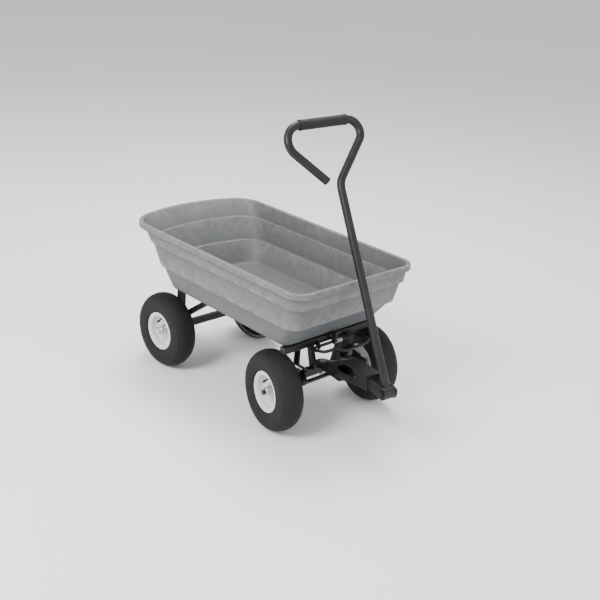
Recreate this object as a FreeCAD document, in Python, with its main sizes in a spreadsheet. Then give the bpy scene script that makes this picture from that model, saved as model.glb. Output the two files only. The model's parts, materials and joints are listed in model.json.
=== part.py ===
import FreeCAD, Part
import math
import os
import re

# Garden dump cart: stepped poly tub on a welded steel chassis, four pneumatic wheels,
# tie-rod steering and a pull handle. Millimetres, +X towards the pull handle, +Y to the
# cart's left, +Z up, origin on the ground under the middle of the whole cart.

DOC = FreeCAD.newDocument("garden_cart")
SHEET = DOC.addObject("Spreadsheet::Sheet", "dims")

DIMENSIONS = {
    # wheels
    "wheel_radius": 130.0,
    "tyre_half_width": 40.0,
    "bead_radius": 54.2,
    "tyre_wall": 7.0,
    "hub_radius": 15.0,
    "hub_half_length": 32.0,
    "hub_bore_radius": 8.06,
    "axle_radius": 8.0,
    "axle_end": 8.0,
    "washer_radius": 12.5,
    # axle positions
    "front_axle_x": 207.0,
    "rear_axle_x": -364.0,
    "kingpin_y": 115.0,
    "wheel_offset": 80.0,
    "rear_wheel_y": 200.0,
    # how the cart stands at rest, degrees
    "rest_steer": -10.0,
    "rest_lean": 30.2,
    # tub
    "tub_floor_z": 290.0,
    "tub_floor_thick": 6.0,
    "rim_z": 500.0,
    "rim_band": 18.0,
    "rim_half_width": 255.0,
    "rim_front": 339.0,
    "rim_rear": -555.0,
    "step_a_z": 442.0,
    "step_b_z": 368.0,
    "tub_wall": 5.0,
    "strap_thick": 5.0,
    "strap_width": 24.0,
    "strap_y": 100.0,
    "strap_bolt_radius": 4.0,
    "strap_bolt_grip": 4.2,
    # chassis
    "tube_size": 22.0,
    "tube_wall": 2.0,
    "chassis_top": 284.7,
    "rail_y": 140.0,
    "rail_rear": -396.0,
    "rail_front": 209.0,
    "crossbar_half": 190.0,
    "hinge_x": -388.0,
    "hinge_radius": 5.0,
    "beam_size": 22.0,
    "beam_bottom": 148.0,
    "beam_half": 133.0,
    "axle_beam_half": 151.5,
    "kingpin_radius": 7.0,
    # steering
    "plate_thick": 5.7,
    "plate_gap": 0.3,
    "arm_x": 60.0,
    "arm_y": 14.0,
    "link_pin_radius": 4.0,
    "tongue_length": 331.0,
    "tongue_half_width": 25.0,
    "tongue_sheet": 3.0,
    "handle_pivot_z": 225.0,
    "clevis_radius": 18.5,
    "clevis_bolt_radius": 6.0,
    # handle
    "handle_radius": 12.5,
    "handle_bore": 10.5,
    "grip_radius": 16.5,
    "loop_top": 823.46,
    "loop_tilt": 2.32,
    # release lever
    "release_x": 243.0,
    "release_z": 262.0,
    "release_half": 98.0,
    "release_reach": 69.0,
    "release_radius": 5.0,
}

for row, (alias, size) in enumerate(DIMENSIONS.items(), start=1):
    SHEET.set("A%d" % row, alias)
    SHEET.set("B%d" % row, str(size))
    SHEET.setAlias("B%d" % row, alias)
DOC.recompute()

X_AXIS = FreeCAD.Vector(1, 0, 0)
Y_AXIS = FreeCAD.Vector(0, 1, 0)
Z_AXIS = FreeCAD.Vector(0, 0, 1)
ORIGIN = FreeCAD.Vector(0, 0, 0)
SIDES = (("left", 1), ("right", -1))
PIECES = []


# ---------------------------------------------------------------- helpers

def value(alias):
    """A driving dimension as a plain number."""
    return float(SHEET.get(alias))


def expression(formula):
    """Turn a formula written with bare aliases into a sheet expression."""
    known = lambda m: "dims." + m.group(0) if m.group(0) in DIMENSIONS else m.group(0)
    return re.sub(r"[a-z_]+", known, str(formula))


def bind(item, formulas):
    for prop, formula in formulas.items():
        item.setExpression(prop, expression(formula))


def piece(item, label):
    """Name a finished sub-part; the label becomes its file name."""
    item.Label = label
    PIECES.append(item)
    return item


def block(name, size, corner):
    """A box from formulas for its three sizes and its lowest corner."""
    item = DOC.addObject("Part::Box", name)
    bind(item, dict(zip(("Length", "Width", "Height"), size)))
    bind(item, dict(zip(("Placement.Base.x", "Placement.Base.y", "Placement.Base.z"), corner)))
    return item


def rod(name, radius, length, base, axis=Z_AXIS):
    """A cylinder from formulas, growing from its base along an axis."""
    item = DOC.addObject("Part::Cylinder", name)
    item.Placement = FreeCAD.Placement(ORIGIN, FreeCAD.Rotation(Z_AXIS, axis))
    bind(item, {"Radius": radius, "Height": length})
    bind(item, dict(zip(("Placement.Base.x", "Placement.Base.y", "Placement.Base.z"), base)))
    return item


def hexagon(name, across_corners, height, base, axis=Z_AXIS):
    """A hexagonal head or nut."""
    item = DOC.addObject("Part::Prism", name)
    item.Polygon = 6
    item.Placement = FreeCAD.Placement(ORIGIN, FreeCAD.Rotation(Z_AXIS, axis))
    bind(item, {"Circumradius": across_corners, "Height": height})
    bind(item, dict(zip(("Placement.Base.x", "Placement.Base.y", "Placement.Base.z"), base)))
    return item


def cut(name, base, *tools):
    """Base with every tool removed."""
    result = base
    for number, tool in enumerate(tools):
        item = DOC.addObject("Part::Cut", "%s_cut%d" % (name, number))
        item.Base = result
        item.Tool = tool
        result = item
    return result


def fuse(name, *items):
    item = DOC.addObject("Part::MultiFuse", name)
    item.Shapes = list(items)
    item.Refine = True
    return item


def group(name, *items):
    """Separate solids that share one node."""
    item = DOC.addObject("Part::Compound", name)
    item.Links = list(items)
    return item


def turned(point, axis, angle):
    """A turn by an angle in degrees about a line through a point."""
    return FreeCAD.Placement(ORIGIN, FreeCAD.Rotation(axis, angle), point)


def place(item, placement):
    item.Placement = placement.multiply(item.Placement)
    return item


def vector(first, second):
    return FreeCAD.Vector(first, second, 0)


def rounded(points, radii):
    """Edges through the points, each inner corner rounded by its radius (0 keeps it sharp)."""
    corners = [vector(*p) for p in points]
    stops = [(corners[0], corners[0], None)]
    for before, corner, after, radius in zip(corners, corners[1:], corners[2:], radii):
        if radius == 0:
            stops.append((corner, corner, None))
            continue
        back = (before - corner).normalize()
        ahead = (after - corner).normalize()
        half = back.getAngle(ahead) / 2
        reach = radius / math.tan(half)
        middle = (back + ahead).normalize() * (radius / math.sin(half) - radius)
        stops.append((corner + back * reach, corner + ahead * reach, corner + middle))
    stops.append((corners[-1], corners[-1], None))
    edges = []
    for here, following in zip(stops, stops[1:]):
        if here[2] is not None:
            edges.append(Part.Arc(here[0], here[2], here[1]))
        edges.append(Part.LineSegment(here[1], following[0]))
    return edges


def closed(points, radii=None):
    """A closed outline; the radii follow the points and 0 keeps a corner sharp."""
    radii = radii or [0] * len(points)
    start = vector(*points[0])
    finish = vector(*points[-1])
    middle = (start + finish) * 0.5
    loop = [(middle.x, middle.y)] + list(points) + [(middle.x, middle.y)]
    return rounded(loop, radii)


def ring(x, y, radius):
    return [Part.Circle(vector(x, y), Z_AXIS, radius)]


def body(name):
    return DOC.addObject("PartDesign::Body", name)


def sketch(owner, name, plane, edges, offset=0.0):
    """A sketch on one of its body's own origin planes."""
    item = owner.newObject("Sketcher::SketchObject", name)
    support = [f for f in owner.Origin.OriginFeatures if f.Role == plane][0]
    item.AttachmentSupport = (support, [""])
    item.MapMode = "FlatFace"
    item.AttachmentOffset = FreeCAD.Placement(FreeCAD.Vector(0, 0, offset), FreeCAD.Rotation())
    for edge in edges:
        item.addGeometry(edge, False)
    return item


def pad(owner, name, profile, length, symmetric=False):
    item = owner.newObject("PartDesign::Pad", name)
    item.Profile = profile
    item.SideType = "Symmetric" if symmetric else "One side"
    bind(item, {"Length": length})
    return item


def pocket(owner, name, profile, length):
    """A pocket that cuts both ways from its sketch."""
    item = owner.newObject("PartDesign::Pocket", name)
    item.Profile = profile
    item.SideType = "Symmetric"
    bind(item, {"Length": length})
    return item


def revolve(owner, name, profile):
    """A full turn about the sketch's own upright axis."""
    item = owner.newObject("PartDesign::Revolution", name)
    item.Profile = profile
    item.ReferenceAxis = (profile, ["V_Axis"])
    item.Angle = 360
    return item


def loft(owner, kind, name, lower, upper):
    item = owner.newObject("PartDesign::" + kind, name)
    item.Profile = lower
    item.Sections = [upper]
    item.Ruled = True
    return item


def square_tube(name, size, corner, along):
    """A hollow square tube: outer size formulas, lowest corner and its open direction."""
    outer = block(name + "_outer", size, corner)
    inner_size = list(size)
    inner_corner = list(corner)
    for axis in range(3):
        if axis == along:
            inner_size[axis] = "%s + 4" % size[axis]
            inner_corner[axis] = "%s - 2" % corner[axis]
        else:
            inner_size[axis] = "%s - 2 * tube_wall" % size[axis]
            inner_corner[axis] = "%s + tube_wall" % corner[axis]
    inner = block(name + "_bore", inner_size, inner_corner)
    return cut(name, outer, inner)


# ---------------------------------------------------------------- tub

# Outer skin of the tub from the top down: height, half width, front, rear, front corner
# radius, rear corner radius. Each wall band ends in a ledge where the next one starts.
RIM = ("rim_z", 255, 339, -555, 56, 110)
BANDS = (
    (("rim_z", 245, 331, -545, 48, 102), ("step_a_z", 240, 324, -497, 46, 98)),
    (("step_a_z", 233, 315, -489, 42, 92), ("step_b_z", 228, 296, -447, 40, 88)),
    (("step_b_z", 220, 287, -438, 36, 82), ("tub_floor_z", 199, 236, -409, 34, 78)),
)
TUB_BOW = 560.0
TUB_SOFT_EDGE = 10.0


def tub_outline(half_width, front, rear, front_round, rear_round):
    """Straight front with round corners, straight sides and a bowed rear end."""
    bow = TUB_BOW - (half_width - value("rim_half_width"))
    bow_x = rear + bow
    centre_y = half_width - rear_round
    centre_x = bow_x - math.sqrt((bow - rear_round) ** 2 - centre_y ** 2)
    reach = bow / (bow - rear_round)
    touch_x = bow_x + (centre_x - bow_x) * reach
    touch_y = centre_y * reach
    lean = math.atan2(touch_y - centre_y, touch_x - centre_x)
    middle = (lean + math.pi / 2) / 2
    middle_x = centre_x + rear_round * math.cos(middle)
    middle_y = centre_y + rear_round * math.sin(middle)
    side = front - front_round
    inner = half_width - front_round
    slant = front_round * math.sqrt(0.5)
    return [
        Part.LineSegment(vector(front, -inner), vector(front, inner)),
        Part.Arc(vector(front, inner), vector(side + slant, inner + slant), vector(side, half_width)),
        Part.LineSegment(vector(side, half_width), vector(centre_x, half_width)),
        Part.Arc(vector(centre_x, half_width), vector(middle_x, middle_y), vector(touch_x, touch_y)),
        Part.Arc(vector(touch_x, touch_y), vector(rear, 0), vector(touch_x, -touch_y)),
        Part.Arc(vector(touch_x, -touch_y), vector(middle_x, -middle_y), vector(centre_x, -half_width)),
        Part.LineSegment(vector(centre_x, -half_width), vector(side, -half_width)),
        Part.Arc(vector(side, -half_width), vector(side + slant, -inner - slant), vector(front, -inner)),
    ]


def tub_level(owner, name, level, inset=0.0, lift=0.0):
    """A sketch of one level of the tub, drawn in by the inset and raised by the lift."""
    height, half_width, front, rear, front_round, rear_round = level
    edges = tub_outline(half_width - inset, front - inset, rear + inset,
                        front_round - inset, rear_round - inset)
    item = sketch(owner, name, "XY_Plane", edges)
    item.setExpression("AttachmentOffset.Base.z", expression("%s + %s" % (height, lift)))
    return item


def make_tub():
    tub = body("tub_body")
    wall = value("tub_wall")
    floor = value("tub_floor_thick")
    rim_sketch = tub_level(tub, "rim_outline", RIM, 0.0, -value("rim_band"))
    pad(tub, "rim_pad", rim_sketch, "rim_band")
    for number, (upper, lower) in enumerate(BANDS):
        top = tub_level(tub, "band%d_top" % number, upper)
        if lower[0] == "tub_floor_z":
            edge = tub_level(tub, "soft_top", lower, 0.0, TUB_SOFT_EDGE)
            base = tub_level(tub, "soft_base", lower, TUB_SOFT_EDGE * 0.8)
            loft(tub, "AdditiveLoft", "band%d" % number, edge, top)
            loft(tub, "AdditiveLoft", "soft_edge", base, edge)
        else:
            foot = tub_level(tub, "band%d_foot" % number, lower)
            loft(tub, "AdditiveLoft", "band%d" % number, foot, top)
    for number, (upper, lower) in enumerate(BANDS):
        above = 0.0 if number == 0 else floor
        top = tub_level(tub, "inside%d_top" % number, upper, wall, above)
        if lower[0] == "tub_floor_z":
            foot = tub_level(tub, "inside%d_foot" % number, lower, wall + 3.0, floor)
        else:
            foot = tub_level(tub, "inside%d_foot" % number, lower, wall, floor)
        loft(tub, "SubtractiveLoft", "inside%d" % number, foot, top)
    holes = [rod("floor_hole%d" % n, "strap_bolt_radius + 0.05", "5 + strap_bolt_grip + 0.2",
                 (x, y, "tub_floor_z - 5"))
             for n, (x, y) in enumerate(strap_bolts())]
    return piece(cut("tub", tub, group("floor_holes", *holes)), "tub")


STRAP_BOLT_X = (-320, -130, 50, 170)
STRAP_REAR = -396
STRAP_LENGTH = 600
EAR_THICK = 5
EAR_RADIUS = 11
STRIKER_X = 150
STRIKER_LENGTH = 95
STRIKER_WIDTH = 40


def strap_bolts():
    return [(x, sign * value("strap_y")) for x in STRAP_BOLT_X for _, sign in SIDES]


def make_tub_ironwork():
    """Two floor straps with hinge ears, the latch striker, and the bolts into the tub floor."""
    width = "strap_width"
    low = "tub_floor_z - strap_thick"
    hinge_z = "chassis_top - tube_size / 2"
    for side, sign in SIDES:
        strap_start = "%d * strap_y - strap_width / 2" % sign
        strap = block("strap_" + side, (STRAP_LENGTH, width, "strap_thick"), (STRAP_REAR, strap_start, low))
        ear_start = "%d * strap_y - %s" % (sign, EAR_THICK / 2)
        ear_plate = block("ear_plate_" + side, (20, EAR_THICK, 18),
                          ("hinge_x - 10", ear_start, hinge_z + " - 5"))
        ear_eye = rod("ear_eye_" + side, EAR_RADIUS, EAR_THICK, ("hinge_x", ear_start, hinge_z), Y_AXIS)
        whole = fuse("strap_ear_" + side, strap, ear_plate, ear_eye)
        bore = rod("ear_bore_" + side, "hinge_radius + 0.08", 30,
                   ("hinge_x", "%d * strap_y - 15" % sign, hinge_z), Y_AXIS)
        holes = [rod("strap_hole_%s%d" % (side, n), "strap_bolt_radius + 0.05", "strap_thick + 10",
                     (x, sign * value("strap_y"), low + " - 5"))
                 for n, x in enumerate(STRAP_BOLT_X)]
        piece(cut("tub_strap_" + side, whole, bore, group("strap_holes_" + side, *holes)),
              "tub_strap_" + side)
    piece(block("tub_striker", (STRIKER_LENGTH, STRIKER_WIDTH, "strap_thick"),
                (STRIKER_X, -STRIKER_WIDTH / 2, low)), "tub_striker")
    bolts = []
    for number, (x, y) in enumerate(strap_bolts()):
        head = hexagon("strap_bolt_head%d" % number, 7.5, 5.3, (x, y, low + " - 5.3"))
        shank = rod("strap_bolt_shank%d" % number, "strap_bolt_radius", "strap_thick + strap_bolt_grip + 2",
                    (x, y, low + " - 2"))
        bolts.append(fuse("strap_bolt%d" % number, head, shank))
    piece(group("tub_bolts", *bolts), "tub_bolts")


# ---------------------------------------------------------------- chassis

CAP_THICK = 2.5
PLUG_LENGTH = 10


def make_frame():
    """Side rails and crossbars right under the tub."""
    size = "tube_size"
    low = "chassis_top - tube_size"
    hinge_z = "chassis_top - tube_size / 2"
    for side, sign in SIDES:
        start_y = "%d * rail_y - tube_size / 2" % sign
        across = ("hinge_x", "%d * rail_y - 30" % sign, hinge_z)
        rail = square_tube("rail_tube_" + side, ("rail_front - rail_rear", size, size),
                           ("rail_rear", start_y, low), 0)
        bore = rod("rail_bore_" + side, "hinge_radius", 60, across, Y_AXIS)
        piece(cut("side_rail_" + side, rail, bore), "side_rail_" + side)
    front = square_tube("front_crossbar", (size, "2 * crossbar_half", size),
                        ("rail_front", "-crossbar_half", low), 1)
    piece(front, "front_crossbar")
    rear = square_tube("rear_crossbar", (size, "2 * rail_y - tube_size", size),
                       ("rear_axle_x - tube_size / 2", "-rail_y + tube_size / 2", low), 1)
    piece(rear, "rear_crossbar")
    piece(rod("tub_hinge_rod", "hinge_radius", "2 * rail_y + 36",
              ("hinge_x", "-rail_y - 18", hinge_z), Y_AXIS), "tub_hinge_rod")
    caps = []
    bore = "tube_size - 2 * tube_wall"
    for side, sign in SIDES:
        start_y = "%d * rail_y - tube_size / 2" % sign
        cap_x = "rail_rear - %s" % CAP_THICK
        plug = block("rail_plug_" + side, (PLUG_LENGTH, bore, bore),
                     (cap_x, start_y + " + tube_wall", low + " + tube_wall"))
        head = block("rail_cap_" + side, (CAP_THICK, size, size), (cap_x, start_y, low))
        relief = rod("rail_relief_" + side, "hinge_radius + 0.5", 60,
                     ("hinge_x", "%d * rail_y - 30" % sign, hinge_z), Y_AXIS)
        caps.append(cut("rail_end_" + side, fuse("rail_cap_body_" + side, plug, head), relief))
        end_y = "crossbar_half" if sign > 0 else "-crossbar_half - %s" % CAP_THICK
        plug_y = "crossbar_half - 8" if sign > 0 else end_y
        bar_plug = block("bar_plug_" + side, (bore, PLUG_LENGTH + 0.5, bore),
                         ("rail_front + tube_wall", plug_y, low + " + tube_wall"))
        bar_head = block("bar_cap_" + side, (size, CAP_THICK, size), ("rail_front", end_y, low))
        caps.append(fuse("bar_end_" + side, bar_plug, bar_head))
    piece(group("frame_end_caps", *caps), "frame_end_caps")


# Front leg and inner strut as seen along the cart: across, up. Each is a bent flat bar
# from the crossbar down to the front beam.
FRONT_LEG = ((106, 262.7), (134, 262.7), (134, 256.5), (122, 256.5), (124, 203), (82, 170),
             (58, 170), (58, 176), (76, 176), (117, 208), (115.5, 256.5), (106, 256.5))
FRONT_STRUT = ((52, 262.7), (84, 262.7), (84, 257), (72, 257), (53, 170), (37.5, 170),
               (61, 257), (52, 257))
FRONT_BAR_X = 199.0
FRONT_BAR_WIDTH = 22.0
# Rear brace seen from the side: along, up.
REAR_BRACE = ((-353, 158), (-209, 262.7), (-238, 262.7), (-353, 180))
REAR_BRACE_WIDTH = 20.0
# Bowed stiffener under each side rail: half length, sag, bar thickness, middle along the cart.
RAIL_BOW_HALF = 70.0
RAIL_BOW_SAG = 23.0
RAIL_BOW_THICK = 5.0
RAIL_BOW_MIDDLE = 20.0
RAIL_BOW_WIDTH = 16.0


def flat_bar(name, plane, edges, offset, width):
    item = body(name)
    profile = sketch(item, name + "_outline", plane, edges, offset)
    pad(item, name + "_pad", profile, width)
    return item


def bow_edges():
    """A shallow bowed bar hanging from a rail, seen from the side."""
    top = value("chassis_top") - value("tube_size")
    reach = RAIL_BOW_HALF - 2.2 * RAIL_BOW_THICK
    outer = [vector(RAIL_BOW_MIDDLE + x, top - z)
             for x, z in ((-RAIL_BOW_HALF, 0), (0, RAIL_BOW_SAG), (RAIL_BOW_HALF, 0))]
    inner = [vector(RAIL_BOW_MIDDLE + x, top - z)
             for x, z in ((reach, 0), (0, RAIL_BOW_SAG - RAIL_BOW_THICK), (-reach, 0))]
    return [Part.Arc(*outer), Part.LineSegment(outer[2], inner[0]), Part.Arc(*inner),
            Part.LineSegment(inner[2], outer[0])]


def make_legs():
    low = "chassis_top - tube_size"
    for side, sign in SIDES:
        leg = closed([(sign * y, z) for y, z in FRONT_LEG])
        strut = closed([(sign * y, z) for y, z in FRONT_STRUT])
        piece(flat_bar("front_leg_" + side, "YZ_Plane", leg, FRONT_BAR_X, FRONT_BAR_WIDTH),
              "front_leg_" + side)
        piece(flat_bar("front_strut_" + side, "YZ_Plane", strut, FRONT_BAR_X, FRONT_BAR_WIDTH),
              "front_strut_" + side)
        rear = square_tube("rear_leg_" + side,
                           ("tube_size", "tube_size", low + " - wheel_radius - beam_size / 2"),
                           ("rear_axle_x - tube_size / 2", "%d * rail_y - tube_size / 2" % sign,
                            "wheel_radius + beam_size / 2"), 2)
        piece(rear, "rear_leg_" + side)
        brace_y = -(sign * value("rail_y") + REAR_BRACE_WIDTH / 2)
        piece(flat_bar("rear_brace_" + side, "XZ_Plane", closed(REAR_BRACE), brace_y, REAR_BRACE_WIDTH),
              "rear_brace_" + side)
        bow_y = -(sign * value("rail_y") + RAIL_BOW_WIDTH / 2)
        piece(flat_bar("rail_bow_" + side, "XZ_Plane", bow_edges(), bow_y, RAIL_BOW_WIDTH),
              "rail_bow_" + side)


def make_axles():
    """Front beam with its kingpins, rear beam with its through axle."""
    beam = block("front_beam_bar", ("beam_size", "2 * beam_half", "beam_size"),
                 ("front_axle_x - beam_size / 2", "-beam_half", "beam_bottom"))
    bores = [rod("beam_bore%d" % n, "kingpin_radius", "beam_size + 20",
                 ("front_axle_x", y, "beam_bottom - 10"))
             for n, y in enumerate(("-kingpin_y", 0, "kingpin_y"))]
    piece(cut("front_beam", beam, group("beam_bores", *bores)), "front_beam")
    bolts = []
    for number, y in enumerate(("-kingpin_y", "kingpin_y")):
        bolts.append(steering_bolt("kingpin%d" % number, y))
    piece(group("kingpins", *bolts), "kingpins")
    piece(steering_bolt("tongue_bolt", 0), "tongue_bolt")

    rear = block("rear_beam_bar", ("beam_size", "2 * axle_beam_half", "beam_size"),
                 ("rear_axle_x - beam_size / 2", "-axle_beam_half", "wheel_radius - beam_size / 2"))
    bore = rod("rear_beam_bore", "axle_radius", "2 * axle_beam_half + 20",
               ("rear_axle_x", "-axle_beam_half - 10", "wheel_radius"), Y_AXIS)
    piece(cut("rear_axle_beam", rear, bore), "rear_axle_beam")
    end = "rear_wheel_y + hub_half_length + axle_end"
    axle = rod("rear_axle_bar", "axle_radius", "2 * (%s)" % end,
               ("rear_axle_x", "-(%s)" % end, "wheel_radius"), Y_AXIS)
    pin_holes = [rod("axle_pin_hole%d" % n, 1.5, 30, ("rear_axle_x", "%d * (%s - 3)" % (sign, end),
                                                     "wheel_radius - 15"))
                 for n, (_, sign) in enumerate(SIDES)]
    piece(cut("rear_axle", axle, *pin_holes), "rear_axle")
    keepers = []
    for side, sign in SIDES:
        keepers.append(washer("rear_washer_" + side, "rear_axle_x", sign,
                              "rear_wheel_y + hub_half_length", 2))
        keepers.append(washer("rear_spacer_" + side, "rear_axle_x", sign, "axle_beam_half - 0.3",
                              "(rear_wheel_y - hub_half_length - axle_beam_half - 0.3)"))
        keepers.append(split_pin("rear_pin_" + side, "rear_axle_x", "%d * (%s - 3)" % (sign, end)))
    piece(group("rear_wheel_keepers", *keepers), "rear_wheel_keepers")


def steering_bolt(name, y):
    """Upright bolt through the front beam and the plates above and below it."""
    top = "beam_bottom + beam_size + plate_gap + plate_thick"
    shank = rod(name + "_shank", "kingpin_radius", "beam_size + 26",
                ("front_axle_x", y, "beam_bottom - 18"))
    head = hexagon(name + "_head", 12, 8, ("front_axle_x", y, top + " + plate_gap"))
    nut = hexagon(name + "_nut", 12, 8, ("front_axle_x", y, "beam_bottom - 16.3"))
    return fuse(name, shank, head, nut)


def washer(name, x, sign, inner_y, thick):
    """A washer on an axle, starting a little outboard of a given distance from the middle."""
    start = "%s + 0.3" % inner_y if sign > 0 else "-(%s) - 0.3 - %s" % (inner_y, thick)
    disc = rod(name + "_disc", "washer_radius", thick, (x, start, "wheel_radius"), Y_AXIS)
    hole = rod(name + "_hole", "axle_radius", 40, (x, start + " - 10", "wheel_radius"), Y_AXIS)
    return cut(name, disc, hole)


def split_pin(name, x, y):
    stem = rod(name + "_stem", 1.5, 22, (x, y, "wheel_radius - 11"))
    head = rod(name + "_head", 2.6, 2.4, (x, y, "wheel_radius + 11"))
    return fuse(name, stem, head)


# ---------------------------------------------------------------- steering

def steer_about(y):
    """The rest steering angle about an upright axis on the front axle line."""
    return turned(FreeCAD.Vector(value("front_axle_x"), y, 0), Z_AXIS, value("rest_steer"))


def arm_outline(sign):
    """Top plate of a knuckle with its forward steering arm, seen from above."""
    x = value("front_axle_x")
    y = value("kingpin_y")
    pin_x = x + value("arm_x")
    pin_y = y + value("arm_y")
    points = [(x + 18, y - 18), (pin_x + 9, pin_y - 11), (pin_x + 11, pin_y + 11), (x + 24, y + 25),
              (x + 22, y + 31), (x - 22, y + 31), (x - 22, y + 25), (x - 18, y - 18)]
    radii = [8, 9, 9, 10, 0, 0, 0, 16]
    return [(px, sign * py) for px, py in points], radii


def make_knuckle(side, sign):
    name = "knuckle_" + side
    top_z = value("beam_bottom") + value("beam_size") + value("plate_gap")
    upper = body(name + "_upper")
    points, radii = arm_outline(sign)
    profile = sketch(upper, name + "_arm", "XY_Plane", closed(points, radii), top_z)
    pad(upper, name + "_arm_pad", profile, "plate_thick")
    low_z = "beam_bottom - plate_gap - plate_thick"
    lower_y = "kingpin_y" if sign > 0 else "-kingpin_y - 31"
    lower = block(name + "_lower", (36, 31, "plate_thick"), ("front_axle_x - 18", lower_y, low_z))
    lower_eye = rod(name + "_lower_eye", 18, "plate_thick",
                    ("front_axle_x", "%d * kingpin_y" % sign, low_z))
    face_y = "kingpin_y + 25" if sign > 0 else "-kingpin_y - 31"
    face = block(name + "_face", (44, 6, "beam_bottom + beam_size + plate_gap + plate_thick - 110"),
                 ("front_axle_x - 22", face_y, 110))
    shoulder_y = "kingpin_y + 30" if sign > 0 else "-kingpin_y - wheel_offset + hub_half_length + 0.3"
    shoulder = rod(name + "_shoulder", 13, "wheel_offset - hub_half_length - 0.3 - 30",
                   ("front_axle_x", shoulder_y, "wheel_radius"), Y_AXIS)
    stub_length = "wheel_offset + hub_half_length + axle_end - 30"
    stub_y = "kingpin_y + 30" if sign > 0 else "-kingpin_y - 30 - (%s)" % stub_length
    stub = rod(name + "_stub", "axle_radius", stub_length, ("front_axle_x", stub_y, "wheel_radius"), Y_AXIS)
    whole = fuse(name + "_whole", upper, lower, lower_eye, face, shoulder, stub)
    king_hole = rod(name + "_king_hole", "kingpin_radius + 0.06", 90,
                    ("front_axle_x", "%d * kingpin_y" % sign, "beam_bottom - 30"))
    pin_hole = rod(name + "_pin_hole", "link_pin_radius + 0.06", 60,
                   ("front_axle_x + arm_x", "%d * (kingpin_y + arm_y)" % sign, "beam_bottom"))
    split_y = "%d * (kingpin_y + wheel_offset + hub_half_length + axle_end - 3)" % sign
    split_hole = rod(name + "_split_hole", 1.5, 30, ("front_axle_x", split_y, "wheel_radius - 15"))
    knuckle = cut(name, whole, king_hole, pin_hole, split_hole)
    turn = steer_about(sign * value("kingpin_y"))
    piece(place(knuckle, turn), name)
    disc = washer("front_washer_" + side, "front_axle_x", sign,
                  "kingpin_y + wheel_offset + hub_half_length", 2)
    pin = split_pin("front_pin_" + side, "front_axle_x", split_y)
    keepers = group("front_wheel_keepers_" + side, disc, pin)
    piece(place(keepers, turn), "front_wheel_keepers_" + side)


def make_tie_rod(side, sign):
    """A flat link between the tongue plate and one knuckle, with its two riveted pins."""
    name = "tie_rod_" + side
    top = value("beam_bottom") + value("beam_size") - 1.0
    thick = 6.0
    inner = sign * value("arm_y")
    outer = sign * (value("kingpin_y") + value("arm_y"))
    x = value("front_axle_x") + value("arm_x")
    bar = block(name + "_bar", (14, "kingpin_y", thick), (x - 7, min(inner, outer), top - thick))
    solids = [bar]
    for end, y in (("inner", inner), ("outer", outer)):
        solids.append(rod(name + "_eye_" + end, 10.5, thick, (x, y, top - thick)))
        solids.append(rod(name + "_pin_" + end, "link_pin_radius", 12.5, (x, y, top - 1)))
        solids.append(rod(name + "_head_" + end, 6.5, 3,
                          (x, y, "beam_bottom + beam_size + plate_gap + plate_thick + plate_gap")))
    link = fuse(name, *solids)
    inner_arm = FreeCAD.Vector(value("arm_x"), inner, 0)
    swung = FreeCAD.Rotation(Z_AXIS, value("rest_steer")).multVec(inner_arm)
    piece(place(link, FreeCAD.Placement(swung - inner_arm, FreeCAD.Rotation())), name)


# Tongue seen from the side: distance ahead of the steering bolt, height.
TONGUE_SIDE = ((50, 176), (100, 176), (262, 205), (262, 253), (140, 250), (50, 205))
TONGUE_WINDOW = ((95, 208), (146, 238), (180, 241), (214, 222), (147, 209))
EAR_SIDE = ((236, 213), (300, 209), (331, 206), (350, 206), (350, 244), (300, 245), (236, 241))


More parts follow.
